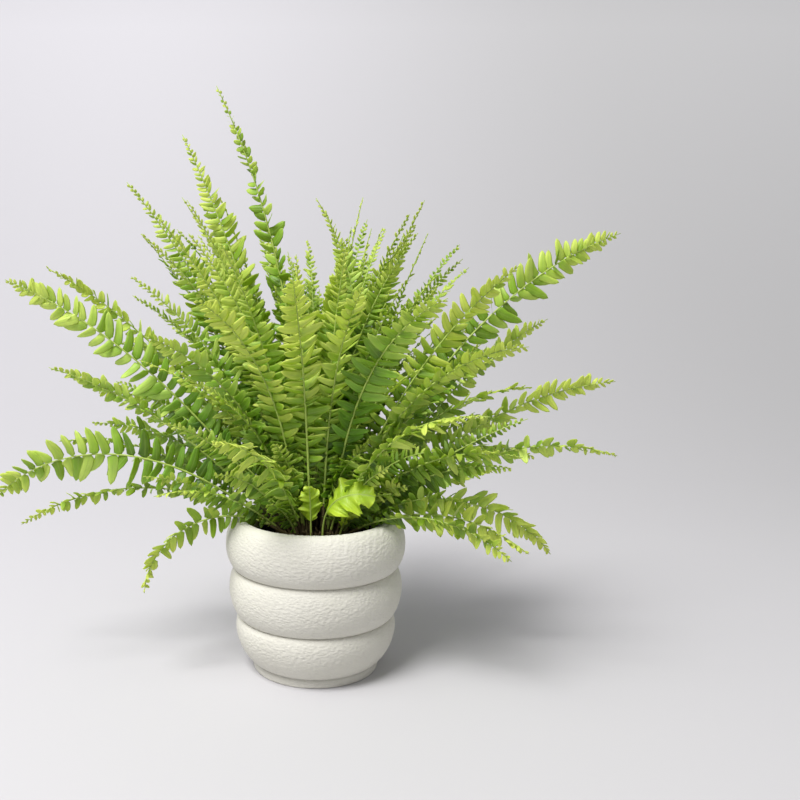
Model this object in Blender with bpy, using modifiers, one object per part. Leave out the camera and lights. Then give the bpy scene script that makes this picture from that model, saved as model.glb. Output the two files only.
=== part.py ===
"""Potted sword fern: a ringed ceramic pot, the nursery pot inside it, potting soil, a crown and its fronds.

Metres, +Z up. The origin is the centre of the ceramic pot's base, which stands on z = 0.
The front of the plant faces -Y. Azimuth 0 points along +X, 90 along +Y and 180 along -X.
"""

import math

import bpy
import numpy as np
from mathutils.bvhtree import BVHTree

# ---- ceramic pot: three bulging rings on a low foot, given from the bottom up ----
FOOT_RADIUS = 0.0545
FOOT_HEIGHT = 0.0072
FOOT_EDGE = 0.0012
RING_HEIGHTS = (0.0400, 0.0422, 0.0428)
RING_RADII = (0.0678, 0.0748, 0.0776)
GROOVE_RADII = (0.0560, 0.0660, 0.0692, 0.0678)
RING_SHARPNESS = 1.5
RING_POINTS = 8
LIP_RADIUS = 0.0024
WALL = 0.0062
WALL_TAPER = 0.0080
FLOOR_THICKNESS = 0.0080
POT_STEPS = 44
POT_HEIGHT = FOOT_HEIGHT + sum(RING_HEIGHTS)
MOUTH_RADIUS = GROOVE_RADII[-1] - WALL

# ---- nursery pot, standing on the ceramic pot's floor ----
NURSERY_WALL = 0.0012
NURSERY_ROOM = 0.0030
NURSERY_BELOW_RIM = 0.0179
NURSERY_TAPER = 0.0090
NURSERY_LIP_WIDTH = 0.0018
NURSERY_LIP_HEIGHT = 0.0080
NURSERY_STEPS = 32
DRAIN_HOLES = 5
DRAIN_HOLE_RADIUS = 0.0045
DRAIN_CIRCLE = 0.0280

# ---- soil and crown ----
SOIL_BELOW_LIP = 0.0060
SOIL_SHOULDER = 0.0020
CROWN_RADIUS = 0.0330
CROWN_HEIGHT = 0.0120
CROWN_STEPS = 24
CROWN_SHOULDER = 0.25
CROWN_SHARES = (0.0, 0.2, 0.4, 0.6, 0.75, 0.88, 0.97, 1.0)

# Pieces that rest on one another keep this gap, and fronds keep CLEARANCE between them.
GAP = 0.0003
CLEARANCE = 0.0006

# ---- fronds: a stalk, then a blade with a ridge along its middle ----
STALK_RADIUS = 0.0011
STALK_RINGS = 3
BLADE_RINGS = 12
BLADE_STARTS = 0.24
BLADE_SWELL = 0.16
BLADE_TAPER = 0.45
BLADE_THICKNESS = 0.0013
TIP_THINNING = 0.6
TIP_WIDTH = 0.0012
NOTCH = 0.40
BEND = {"upright": 1.8, "arching": 1.8, "trailing": 1.1, "young": 1.3}
PATH_STEPS = 60
FROND_SCALE = 1.0

# ---- heights and radii that follow from the sizes above ----
FLOOR_TOP = FLOOR_THICKNESS
NURSERY_BASE = FLOOR_TOP + GAP
NURSERY_TOP = POT_HEIGHT - NURSERY_BELOW_RIM
NURSERY_HEIGHT = NURSERY_TOP - NURSERY_BASE
NURSERY_TOP_RADIUS = MOUTH_RADIUS - NURSERY_ROOM - NURSERY_LIP_WIDTH
NURSERY_BASE_RADIUS = MOUTH_RADIUS - WALL_TAPER - NURSERY_ROOM - NURSERY_TAPER
SOIL_BASE = NURSERY_BASE + NURSERY_WALL + GAP
SOIL_TOP = NURSERY_TOP - SOIL_BELOW_LIP
CROWN_BASE = SOIL_TOP + GAP

# Each row: azimuth, elevation at the base, elevation at the tip, length, half width of the blade,
# roll of the blade about its stalk, turn of the azimuth from base to tip, and where it grows on the
# crown, as a share of the crown's radius. Angles are in degrees and lengths in millimetres.
UPRIGHT_FRONDS = (
    (171, 86, 64, 382, 15, 80, 6, 0.12),
    (176, 71, 50, 330, 21, 70, 6, 0.30),
    (165, 77, 64, 352, 22, 60, 8, 0.24),
    (152, 76, 54, 310, 19, 60, 12, 0.36),
    (120, 87, 72, 285, 13, 40, 20, 0.10),
    (0, 74, 124, 290, 19, -75, 10, 0.26),
    (40, 76, 114, 276, 17, -50, -12, 0.34),
    (12, 80, 64, 296, 18, -60, -10, 0.22),
    (300, 88, 62, 252, 20, 10, 12, 0.06),
    (205, 82, 54, 272, 21, 50, -10, 0.18),
)
ARCHING_FRONDS = (
    (183, 53, 22, 326, 24, 75, -6, 0.62),
    (174, 57, 28, 312, 12, 45, 6, 0.50),
    (190, 48, 18, 245, 12, 60, 5, 0.74),
    (169, 46, 12, 226, 13, 50, 5, 0.66),
    (194, 41, -48, 268, 24, 70, -10, 0.84),
    (178, 40, -8, 214, 11, 55, 8, 0.82),
    (5, 61, 18, 366, 23, -75, 6, 0.60),
    (350, 66, 38, 274, 19, -60, -8, 0.44),
    (13, 53, 24, 270, 18, -60, 6, 0.70),
    (357, 45, 6, 264, 17, -65, -6, 0.78),
    (343, 41, -18, 242, 12, -60, 8, 0.88),
    (22, 48, -26, 212, 16, -50, 8, 0.84),
)
TRAILING_FRONDS = (
    (177, 31, -34, 250, 11, 50, 5, 0.80),
    (199, 36, -92, 158, 17, 60, -10, 0.84),
    (2, 34, -54, 204, 18, -60, 6, 0.82),
    (337, 35, -34, 166, 15, -60, -8, 0.86),
    (324, 38, -40, 160, 16, -50, 12, 0.84),
)
YOUNG_FRONDS = (
    (282, 86, -20, 78, 15, 60, 78, 0.82),
    (262, 86, 66, 50, 9, 8, 0, 0.80),
    (310, 76, 20, 46, 8, 10, -20, 0.90),
)

# The fronds that fill the plant stand in whorls, each turned by the golden angle from the last.
# Each row: tier, count, elevation at the base, elevation at the tip, length, half width, place on the crown.
WHORLS = (
    ("upright", 7, 82, 50, 236, 19, 0.34),
    ("arching", 12, 68, 2, 232, 20, 0.56),
    ("trailing", 6, 52, -24, 186, 17, 0.80),
)
BACK_IS_LONGER = 0.25
FRONT_STANDS_UP = 34
SIDE_ROLL = 35
GOLDEN_ANGLE = 137.5
WHORL_SPREAD = (0.0, 0.55, -0.45, 0.25, -0.7, 0.8, -0.15)
WHORL_LENGTH_SPREAD = 26
WHORL_RISE_SPREAD = 7

# Where a frond would touch one that is already there, these turns are tried in order, in degrees.
NUDGES = (0, 2, -2, 4, -4, 6, -6, 9, -9, 12, -12, 16, -16, 20, -20)
NARROWER = (1.0, 0.85, 0.7, 0.55, 0.42, 0.3)
PLACE_SHIFTS = (0, 0.07, -0.07, 0.14, -0.14)


def clear_scene():
    for existing in list(bpy.data.objects):
        bpy.data.objects.remove(existing, do_unlink=True)


def new_collection(name):
    collection = bpy.data.collections.new(name)
    bpy.context.scene.collection.children.link(collection)
    return collection


def material(name, colour, roughness):
    made = bpy.data.materials.new(name)
    made.use_nodes = True
    shader = made.node_tree.nodes["Principled BSDF"]
    shader.inputs["Base Color"].default_value = (*colour, 1.0)
    shader.inputs["Roughness"].default_value = roughness
    shader.inputs["Metallic"].default_value = 0.0
    return made


def add_object(name, mesh, collection, finish=None):
    made = bpy.data.objects.new(name, mesh)
    collection.objects.link(made)
    if finish:
        mesh.materials.append(finish)
    return made


def turned(name, profile, steps, collection, finish):
    """A profile of (radius, height) pairs, running top to bottom down the outer side, turned about Z."""
    mesh = bpy.data.meshes.new(name)
    points = [(radius, 0.0, height) for radius, height in profile]
    edges = [(index, index + 1) for index in range(len(points) - 1)]
    if profile[0][0] > 0:
        edges.append((len(points) - 1, 0))
    mesh.from_pydata(points, edges, [])
    made = add_object(name, mesh, collection, finish)
    screw = made.modifiers.new("turn", "SCREW")
    screw.axis = "Z"
    screw.steps = steps
    screw.render_steps = steps
    screw.use_merge_vertices = True
    screw.merge_threshold = 0.00001
    screw.use_smooth_shade = True
    return made


def ring_profile(index):
    """The outer side of one bulging ring, from its lower groove upwards, without the last point."""
    low = FOOT_HEIGHT + sum(RING_HEIGHTS[:index])
    middle = (GROOVE_RADII[index] + GROOVE_RADII[index + 1]) / 2
    points = []
    for step in range(RING_POINTS):
        turn = math.pi * step / RING_POINTS
        share = 0.5 - 0.5 * math.cos(turn)
        groove = GROOVE_RADII[index] * (1 - share) + GROOVE_RADII[index + 1] * share
        swell = math.sin(turn) ** RING_SHARPNESS
        points.append((groove + (RING_RADII[index] - middle) * swell, low + share * RING_HEIGHTS[index]))
    return points


def inner_radius(height):
    """The ceramic wall's inner side: straight, and narrower towards the floor."""
    share = (height - FLOOR_TOP) / (POT_HEIGHT - FLOOR_TOP)
    return MOUTH_RADIUS - WALL_TAPER * (1 - share)


def ceramic_pot(collection):
    outer = [
        (FOOT_RADIUS - FOOT_EDGE, 0.0),
        (FOOT_RADIUS, FOOT_EDGE),
        (FOOT_RADIUS, FOOT_HEIGHT - FOOT_EDGE),
    ]
    for index in range(len(RING_HEIGHTS)):
        outer += ring_profile(index)
    lip_middle = GROOVE_RADII[-1] - LIP_RADIUS
    lip = []
    for angle in (45, 90):
        turn = math.radians(angle)
        lip.append((lip_middle + LIP_RADIUS * math.cos(turn), POT_HEIGHT - LIP_RADIUS * (1 - math.sin(turn))))
    inner_lip = [
        (MOUTH_RADIUS + LIP_RADIUS / 2, POT_HEIGHT),
        (MOUTH_RADIUS, POT_HEIGHT - LIP_RADIUS / 2),
    ]
    floor_corner = FLOOR_TOP + WALL
    inside = [
        (inner_radius(floor_corner), floor_corner),
        (inner_radius(FLOOR_TOP) - WALL / 2, FLOOR_TOP),
        (0.0, FLOOR_TOP),
    ]
    upwards = [(0.0, 0.0)] + outer + lip + inner_lip + inside
    finish = material("matt_ceramic", (0.80, 0.79, 0.74), 0.75)
    return turned("ceramic_pot", upwards[::-1], POT_STEPS, collection, finish)


def nursery_radius(height):
    """The nursery pot's outer side, below its lip."""
    share = (height - NURSERY_BASE) / NURSERY_HEIGHT
    return NURSERY_BASE_RADIUS + (NURSERY_TOP_RADIUS - NURSERY_BASE_RADIUS) * share


def nursery_pot(collection, cutters):
    lip_base = NURSERY_TOP - NURSERY_LIP_HEIGHT
    floor = NURSERY_BASE + NURSERY_WALL
    profile = [
        (0.0, floor),
        (nursery_radius(floor) - NURSERY_WALL, floor),
        (nursery_radius(NURSERY_TOP) - NURSERY_WALL, NURSERY_TOP),
        (nursery_radius(NURSERY_TOP) + NURSERY_LIP_WIDTH, NURSERY_TOP),
        (nursery_radius(lip_base) + NURSERY_LIP_WIDTH, lip_base),
        (nursery_radius(lip_base), lip_base),
        (nursery_radius(NURSERY_BASE), NURSERY_BASE),
        (0.0, NURSERY_BASE),
    ]
    finish = material("black_plastic", (0.02, 0.02, 0.02), 0.4)
    made = turned("nursery_pot", profile, NURSERY_STEPS, collection, finish)
    for index in range(DRAIN_HOLES):
        turn = math.tau * index / DRAIN_HOLES
        bpy.ops.mesh.primitive_cylinder_add(vertices=12, radius=DRAIN_HOLE_RADIUS, depth=6 * NURSERY_WALL)
        cutter = bpy.context.object
        cutter.name = f"drain_hole_{index + 1}"
        cutter.location = (DRAIN_CIRCLE * math.cos(turn), DRAIN_CIRCLE * math.sin(turn), NURSERY_BASE)
        cutter.hide_render = True
        cutter.display_type = "WIRE"
        for holder in list(cutter.users_collection):
            holder.objects.unlink(cutter)
        cutters.objects.link(cutter)
        hole = made.modifiers.new(cutter.name, "BOOLEAN")
        hole.operation = "DIFFERENCE"
        hole.solver = "EXACT"
        hole.object = cutter
    return made


def potting_soil(collection):
    edge = SOIL_TOP - SOIL_SHOULDER
    inset = NURSERY_WALL + GAP
    shoulder = nursery_radius(edge) - inset
    profile = [
        (0.0, SOIL_TOP),
        (shoulder - 3 * SOIL_SHOULDER, SOIL_TOP),
        (shoulder, edge),
        (nursery_radius(SOIL_BASE) - inset, SOIL_BASE),
        (0.0, SOIL_BASE),
    ]
    finish = material("soil", (0.05, 0.035, 0.025), 0.9)
    return turned("potting_soil", profile, NURSERY_STEPS, collection, finish)


def crown_height(share):
    """Height of the crown's domed top at this share of its radius."""
    dome = math.sqrt(max(0.0, 1 - share * share))
    return CROWN_BASE + CROWN_HEIGHT * (CROWN_SHOULDER + (1 - CROWN_SHOULDER) * dome)


def crown_seat(share, azimuth, along, radius):
    """Where a stalk's foot of this radius stands GAP clear of the crown's top, leaning the way it grows."""
    slope = (1 - CROWN_SHOULDER) * CROWN_HEIGHT * share / (CROWN_RADIUS * math.sqrt(1 - share * share))
    size = math.hypot(slope, 1)
    outward = np.array([math.cos(azimuth), math.sin(azimuth), 0])
    normal = (outward * slope + np.array([0, 0, 1])) / size
    lean = math.sqrt(max(0.0, 1 - float(np.dot(along, normal)) ** 2))
    surface = outward * CROWN_RADIUS * share + np.array([0, 0, crown_height(share)])
    return surface + normal * (GAP + radius * lean)


def crown(collection):
    profile = [(CROWN_RADIUS * share, crown_height(share)) for share in CROWN_SHARES]
    profile += [(CROWN_RADIUS, CROWN_BASE), (0.0, CROWN_BASE)]
    return turned("crown", profile, CROWN_STEPS, collection, material("rhizome", (0.16, 0.10, 0.05), 0.85))


def directions(elevation, azimuth, roll):
    """Arrays of the frond's way along, across and out of its blade."""
    reach = np.cos(elevation)
    along = np.stack([reach * np.cos(azimuth), reach * np.sin(azimuth), np.sin(elevation)], 1)
    level = np.stack([-np.sin(azimuth), np.cos(azimuth), np.zeros_like(azimuth)], 1)
    upper = np.cross(along, level)
    across = level * math.cos(roll) + upper * math.sin(roll)
    return along, across, np.cross(along, across)


def frond_path(row):
    """The frond's middle line and its directions, at PATH_STEPS + 1 places from the base to the tip.

    The elevation goes from its value at the base to its value at the tip as a power of the length.
    """
    azimuth, rise, tip, length, _, roll, turn, place, bend = row
    share = np.linspace(0, 1, PATH_STEPS + 1)
    elevation = np.radians(rise + (tip - rise) * share**bend)
    heading = np.radians(azimuth + turn * share)
    along, across, out = directions(elevation, heading, math.radians(roll))
    step = FROND_SCALE * length / 1000 / PATH_STEPS
    middles = (along[1:] + along[:-1]) / 2 * step
    path = np.concatenate([np.zeros((1, 3)), np.cumsum(middles, 0)])
    base = crown_seat(place, math.radians(azimuth), along[0], STALK_RADIUS)
    return path + base, across, out


def blade_half_width(share, half_width):
    """Half the width along the blade: full soon after it starts, then a long taper to the tip."""
    swell = np.minimum(1.0, share / BLADE_SWELL) ** 0.6
    taper = np.minimum(1.0, (1 - share) / BLADE_TAPER) ** 0.75
    return TIP_WIDTH / 2 + (half_width - TIP_WIDTH / 2) * swell * taper


def frond_shape(row, narrower, grow):
    """Points and faces of one frond, a loft of four-point rings; grow makes it fatter, for testing room."""
    path, across, out = frond_path(row)
    stations = np.concatenate(
        [
            np.linspace(0, BLADE_STARTS, STALK_RINGS, endpoint=False),
            np.linspace(BLADE_STARTS, 1, BLADE_RINGS),
        ]
    )
    wide = np.full(len(stations), STALK_RADIUS)
    thick = np.full(len(stations), STALK_RADIUS)
    blade = np.arange(STALK_RINGS, len(stations))
    share = (stations[blade] - BLADE_STARTS) / (1 - BLADE_STARTS)
    notched = 1 - NOTCH * (np.arange(len(blade)) % 2)
    wide[blade] = blade_half_width(share, row[4] / 1000 * narrower) * notched
    wide[STALK_RINGS] = STALK_RADIUS
    wide[-1] = TIP_WIDTH / 2
    thick[blade] = BLADE_THICKNESS / 2 * (1 - TIP_THINNING * share)
    thick[STALK_RINGS] = STALK_RADIUS
    index = stations * PATH_STEPS
    low = np.minimum(index.astype(int), PATH_STEPS - 1)
    part = (index - low)[:, None]
    centre = path[low] * (1 - part) + path[low + 1] * part
    side = across[low] * (1 - part) + across[low + 1] * part
    face = out[low] * (1 - part) + out[low + 1] * part
    side = side * (wide + grow)[:, None]
    face = face * (thick + grow)[:, None]
    rings = np.stack([centre + side, centre + face, centre - side, centre - face], 1)
    points = rings.reshape(-1, 3)
    faces = [(3, 2, 1, 0)]
    for ring in range(len(stations) - 1):
        for corner in range(4):
            first = 4 * ring + corner
            second = 4 * ring + (corner + 1) % 4
            faces.append((first, second, second + 4, first + 4))
    last = 4 * (len(stations) - 1)
    faces.append((last, last + 1, last + 2, last + 3))
    return points, faces


def triangles(faces):
    split = []
    for face in faces:
        split.append((face[0], face[1], face[2]))
        split.append((face[0], face[2], face[3]))
    return split


def tree_of(points, faces):
    return BVHTree.FromPolygons(points.tolist(), triangles(faces))


def has_room(row, narrower, neighbours, seat):
    """True if the frond cuts nothing: its neighbours even when fattened, and its seat at its own size."""
    if tree_of(*frond_shape(row, narrower, 0.0)).overlap(seat):
        return False
    fattened = tree_of(*frond_shape(row, narrower, CLEARANCE))
    return not any(fattened.overlap(other) for other in neighbours)


def settle(row, neighbours, seat):
    """The row, turned and narrowed as little as needed to clear the fronds that are there already."""
    tries = []
    for narrower in NARROWER:
        for turn in NUDGES:
            for lift in NUDGES:
                for shift in PLACE_SHIFTS:
                    cost = abs(turn) + abs(lift) + 30 * (1 - narrower) + 50 * abs(shift)
                    tries.append((cost, turn, lift, shift, narrower))
    tries.sort(key=lambda entry: entry[0])
    for _, turn, lift, shift, narrower in tries:
        place = min(0.96, max(0.02, row[7] + shift))
        moved = (row[0] + turn, min(89, row[1] + lift), row[2] + lift, *row[3:7], place, row[8])
        if has_room(moved, narrower, neighbours, seat):
            return moved, narrower
    return row, NARROWER[-1]


def whorl_rows(number, entry):
    """The rows of one whorl: turned by the golden angle, with lengths and rises that vary."""
    _, count, rise, tip, length, half_width, place = entry
    rows = []
    for index in range(count):
        spread = WHORL_SPREAD[index % len(WHORL_SPREAD)]
        azimuth = (GOLDEN_ANGLE * index + 40 * number + 250) % 360
        behind = math.sin(math.radians(azimuth))
        longer = 1 + BACK_IS_LONGER * max(0.0, behind)
        lift = FRONT_STANDS_UP * max(0.0, -behind)
        roll = -SIDE_ROLL * math.cos(math.radians(azimuth))
        rows.append(
            (
                azimuth,
                min(88, rise + WHORL_RISE_SPREAD * spread + lift / 2),
                tip - WHORL_RISE_SPREAD * spread + lift,
                (length + WHORL_LENGTH_SPREAD * spread) * longer,
                half_width,
                roll,
                12 * spread,
                place + 0.08 * spread,
            )
        )
    return rows


def fronds(collection, pots, seat):
    green = {
        "upright": material("upright_green", (0.16, 0.36, 0.05), 0.45),
        "arching": material("arching_green", (0.18, 0.42, 0.06), 0.45),
        "trailing": material("trailing_green", (0.20, 0.44, 0.06), 0.45),
        "young": material("young_green", (0.40, 0.62, 0.06), 0.45),
    }
    rows = [("upright", row) for row in UPRIGHT_FRONDS]
    rows += [("arching", row) for row in ARCHING_FRONDS]
    rows += [("trailing", row) for row in TRAILING_FRONDS]
    rows += [("young", row) for row in YOUNG_FRONDS]
    for number, entry in enumerate(WHORLS):
        rows += [(entry[0], row) for row in whorl_rows(number, entry)]
    bpy.context.view_layer.update()
    graph = bpy.context.evaluated_depsgraph_get()
    neighbours = [BVHTree.FromObject(pot, graph) for pot in pots]
    seat_tree = BVHTree.FromObject(seat, graph)
    counts = dict.fromkeys(green, 0)
    for tier, row in rows:
        row, narrower = settle((*row, BEND[tier]), neighbours, seat_tree)
        points, faces = frond_shape(row, narrower, 0.0)
        neighbours.append(tree_of(points, faces))
        counts[tier] += 1
        name = f"{tier}_frond_{counts[tier]:02d}"
        mesh = bpy.data.meshes.new(name)
        mesh.from_pydata(points.tolist(), [], faces)
        add_object(name, mesh, collection, green[tier])


def main():
    clear_scene()
    parts = new_collection("potted_fern")
    cutters = new_collection("cutters")
    pots = [ceramic_pot(parts), nursery_pot(parts, cutters), potting_soil(parts)]
    fronds(parts, pots, crown(parts))


main()
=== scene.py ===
import math

import bpy
import numpy as np
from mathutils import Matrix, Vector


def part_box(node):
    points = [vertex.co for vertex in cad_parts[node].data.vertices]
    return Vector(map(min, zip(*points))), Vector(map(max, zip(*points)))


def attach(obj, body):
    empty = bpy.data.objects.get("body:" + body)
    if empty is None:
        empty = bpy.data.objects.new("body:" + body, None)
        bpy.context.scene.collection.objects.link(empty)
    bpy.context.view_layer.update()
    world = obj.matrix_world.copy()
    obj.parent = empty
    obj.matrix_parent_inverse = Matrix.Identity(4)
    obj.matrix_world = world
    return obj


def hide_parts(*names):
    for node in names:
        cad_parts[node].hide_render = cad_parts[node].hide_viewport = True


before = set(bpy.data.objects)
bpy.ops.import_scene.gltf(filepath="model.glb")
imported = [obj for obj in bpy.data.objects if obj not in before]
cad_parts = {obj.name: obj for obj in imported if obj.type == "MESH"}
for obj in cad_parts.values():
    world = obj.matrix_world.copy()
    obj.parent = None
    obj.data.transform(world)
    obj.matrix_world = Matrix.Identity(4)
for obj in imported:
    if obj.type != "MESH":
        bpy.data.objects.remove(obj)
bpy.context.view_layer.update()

# A potted sword fern. Metres, z up, the pot's base at the origin and the front towards -y.
# Every frond follows the middle line, the lie and the width of its node in the frame.


view = {"distance": 0.75, "height": 0.33, "tilt": 7.37, "lens": 40.0, "shift": 0.1055}


def makeCamera():
    # straight in front of the pot, tilted down a little, with the frame shifted to one side
    data = bpy.data.cameras.new("camera")
    data.lens = view["lens"]
    data.sensor_width = 36.0
    data.shift_x = view["shift"]
    data.clip_end = 50.0
    camera = bpy.data.objects.new("camera", data)
    camera.location = (0.0, -view["distance"], view["height"])
    camera.rotation_euler = (math.radians(90 - view["tilt"]), 0.0, 0.0)
    bpy.context.scene.collection.objects.link(camera)
    bpy.context.scene.camera = camera


makeCamera()
print("camera placed")


def makeMesh(name, points, faceSets, materialSets=None, data=None):
    # points is (n, 3); faceSets holds (m, corners) arrays; data is (n, 4) for the leafData attribute
    mesh = bpy.data.meshes.new(name)
    mesh.vertices.add(len(points))
    mesh.vertices.foreach_set("co", np.ascontiguousarray(points, np.float32).ravel())
    corners = np.concatenate([faces.ravel() for faces in faceSets]).astype(np.int32)
    sizes = np.concatenate([np.full(len(faces), faces.shape[1]) for faces in faceSets])
    starts = np.concatenate([[0], np.cumsum(sizes)[:-1]]).astype(np.int32)
    mesh.loops.add(len(corners))
    mesh.loops.foreach_set("vertex_index", corners)
    mesh.polygons.add(len(sizes))
    mesh.polygons.foreach_set("loop_start", starts)
    mesh.polygons.foreach_set("use_smooth", np.ones(len(sizes), bool))
    if materialSets is not None:
        mesh.polygons.foreach_set("material_index", np.asarray(materialSets, np.int32))
    if data is not None:
        layer = mesh.attributes.new("leafData", "FLOAT_COLOR", "POINT")
        layer.data.foreach_set("color", np.ascontiguousarray(data, np.float32).ravel())
    mesh.update(calc_edges=True)
    mesh.validate()
    return mesh


def makePiece(name, mesh, materials, nodes=()):
    # a finished piece on the one body, with its materials, and the CAD nodes that it stands for hidden
    piece = bpy.data.objects.new(name, mesh)
    bpy.context.scene.collection.objects.link(piece)
    for material in materials:
        mesh.materials.append(material)
    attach(piece, "root")
    if nodes:
        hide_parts(*nodes)


def tubeFaces(count, stations, loop):
    # quads of closed tubes: rows of the loop from station to station, and both ends closed by strips of quads
    row, column = np.meshgrid(np.arange(stations - 1), np.arange(loop), indexing="ij")
    ahead = (column + 1) % loop
    here, above = row * loop, (row + 1) * loop
    sides = np.stack([here + column, here + ahead, above + ahead, above + column], -1)
    k = np.arange(loop // 2 - 1)
    cap = np.stack([k, loop - 1 - k, loop - 2 - k, k + 1], -1)
    end = cap[:, ::-1] + (stations - 1) * loop
    one = np.concatenate([sides.reshape(-1, 4), cap, end])
    return (one[None] + (np.arange(count) * stations * loop)[:, None, None]).reshape(-1, 4)


def outwards(points, faces, count):
    # turns the faces of each closed tube round where the volume that it holds comes out negative
    corner = points[faces]
    normal = np.cross(corner[:, 1], corner[:, 2]) + np.cross(corner[:, 2], corner[:, 3])
    volume = (corner[:, 0] * normal).sum(1).reshape(count, -1).sum(1)
    insideOut = np.repeat(volume < 0, len(faces) // count)
    return np.where(insideOut[:, None], faces[:, ::-1], faces)


def unit(vectors):
    # each vector divided by its length
    return vectors / np.maximum(np.linalg.norm(vectors, axis=-1, keepdims=True), 1e-9)


def tubeAlong(path, radius, loop):
    # a circle of this radius carried along the path, turned as little as possible from one place to the next
    tangent = unit(np.gradient(path, axis=0))
    side = unit(np.cross(tangent, np.array([0.13, 0.31, 0.94]) + 0 * tangent))
    other = np.cross(tangent, side)
    angle = np.linspace(0, 2 * np.pi, loop, endpoint=False)
    ring = side[:, None] * np.cos(angle)[None, :, None] + other[:, None] * np.sin(angle)[None, :, None]
    return path[:, None] + ring * radius[:, None, None]


def waves(points, size, seed, count=14):
    # smooth noise: a sum of plane waves in random directions, with wavelengths around size
    dice = np.random.default_rng(seed)
    way = unit(dice.normal(size=(count, 3))) * (2 * np.pi / (size * dice.uniform(0.7, 1.4, count)))[:, None]
    phase = dice.uniform(0, 2 * np.pi, count)
    return np.sin(points @ way.T + phase).sum(-1) / math.sqrt(count)


def turnedMesh(name, profile, steps, relief=None):
    # a profile of (radius, height) turned about z, from the bottom's middle up the outside to the inner
    # middle; relief moves its points along the surface's normal
    angle = np.linspace(0, 2 * np.pi, steps, endpoint=False)
    ring = profile[1:-1]
    points = np.stack(
        [ring[:, :1] * np.cos(angle), ring[:, :1] * np.sin(angle), np.repeat(ring[:, 1:], steps, 1)], -1
    )
    if relief is not None:
        slope = unit(np.gradient(ring, axis=0))
        normal = np.stack([slope[:, :1] * 0 + slope[:, 1:] * np.cos(angle), slope[:, 1:] * np.sin(angle),
                           np.repeat(-slope[:, :1], steps, 1)], -1)
        points = points + normal * relief(points, ring)[..., None]
    row, column = np.meshgrid(np.arange(len(ring) - 1), np.arange(steps), indexing="ij")
    ahead = (column + 1) % steps
    here, above = row * steps, (row + 1) * steps
    quads = np.stack([here + column, here + ahead, above + ahead, above + column], -1)
    last = (len(ring) - 1) * steps
    count = len(ring) * steps
    low = np.stack([np.full(steps, count), ahead[0], column[0]], -1)
    high = np.stack([np.full(steps, count + 1), last + column[0], last + ahead[0]], -1)
    ends = np.array([[0.0, 0.0, profile[0, 1]], [0.0, 0.0, profile[-1, 1]]])
    return makeMesh(name, np.concatenate([points.reshape(-1, 3), ends]), [quads.reshape(-1, 4), low, high])


def newGroup(name, inputs, outputs):
    # an empty shader group whose sockets are numbers or colours
    group = bpy.data.node_groups.new(name, "ShaderNodeTree")
    kinds = {float: "NodeSocketFloat", tuple: "NodeSocketColor"}
    for label, value in inputs.items():
        socket = group.interface.new_socket(name=label, in_out="INPUT", socket_type=kinds[type(value)])
        socket.default_value = value if isinstance(value, float) else (*value, 1.0)
    for label, kind in outputs.items():
        group.interface.new_socket(name=label, in_out="OUTPUT", socket_type=kinds[kind])
    return group, group.nodes.new("NodeGroupInput"), group.nodes.new("NodeGroupOutput")


def mathNode(tree, operation, first, second=None, clamp=False):
    # one Math node; numbers are set on it and sockets are linked to it
    node = tree.nodes.new("ShaderNodeMath")
    node.operation = operation
    node.use_clamp = clamp
    for socket, value in zip(node.inputs, (first, second)):
        if isinstance(value, (int, float)):
            socket.default_value = value
        elif value is not None:
            tree.links.new(value, socket)
    return node.outputs[0]


def calculator(tree):
    # mathNode bound to one tree, for longer sums
    return lambda operation, *values, clamp=False: mathNode(tree, operation, *values, clamp=clamp)


def mixColour(tree, factor, first, second, blend="MIX"):
    # first blended towards second by the factor
    node = tree.nodes.new("ShaderNodeMix")
    node.data_type = "RGBA"
    node.blend_type = blend
    for label, value in (("Factor", factor), ("A", first), ("B", second)):
        socket = node.inputs[label]
        if isinstance(value, (int, float)):
            socket.default_value = value
        elif isinstance(value, tuple):
            socket.default_value = (*value, 1.0)
        else:
            tree.links.new(value, socket)
    return node.outputs["Result"]


def noiseNode(tree, scale, detail, roughness, vector):
    # smooth noise from 0 to 1 at this place
    node = tree.nodes.new("ShaderNodeTexNoise")
    node.inputs["Detail"].default_value = detail
    node.inputs["Roughness"].default_value = roughness
    if isinstance(scale, (int, float)):
        node.inputs["Scale"].default_value = scale
    else:
        tree.links.new(scale, node.inputs["Scale"])
    tree.links.new(vector, node.inputs["Vector"])
    return node.outputs["Fac"]


def objectPlace(tree):
    # the place on the piece, in metres
    return tree.nodes.new("ShaderNodeTexCoord").outputs["Object"]


def newMaterial(name, roughness):
    # a material with one Principled shader
    material = bpy.data.materials.new(name)
    material.use_nodes = True
    shader = material.node_tree.nodes["Principled BSDF"]
    shader.inputs["Roughness"].default_value = roughness
    return material, material.node_tree, shader


def addBump(tree, shader, height, strength, distance):
    # a height turned into the shader's normal
    bump = tree.nodes.new("ShaderNodeBump")
    bump.inputs["Strength"].default_value = strength
    bump.inputs["Distance"].default_value = distance
    tree.links.new(height, bump.inputs["Height"])
    tree.links.new(bump.outputs["Normal"], shader.inputs["Normal"])


def useGroup(tree, group, **values):
    # one use of a shader group, with its own values
    node = tree.nodes.new("ShaderNodeGroup")
    node.node_tree = group
    for label, value in values.items():
        socket = node.inputs[label.replace("_", " ")]
        socket.default_value = value if isinstance(value, float) else (*value, 1.0)
    return node


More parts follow.
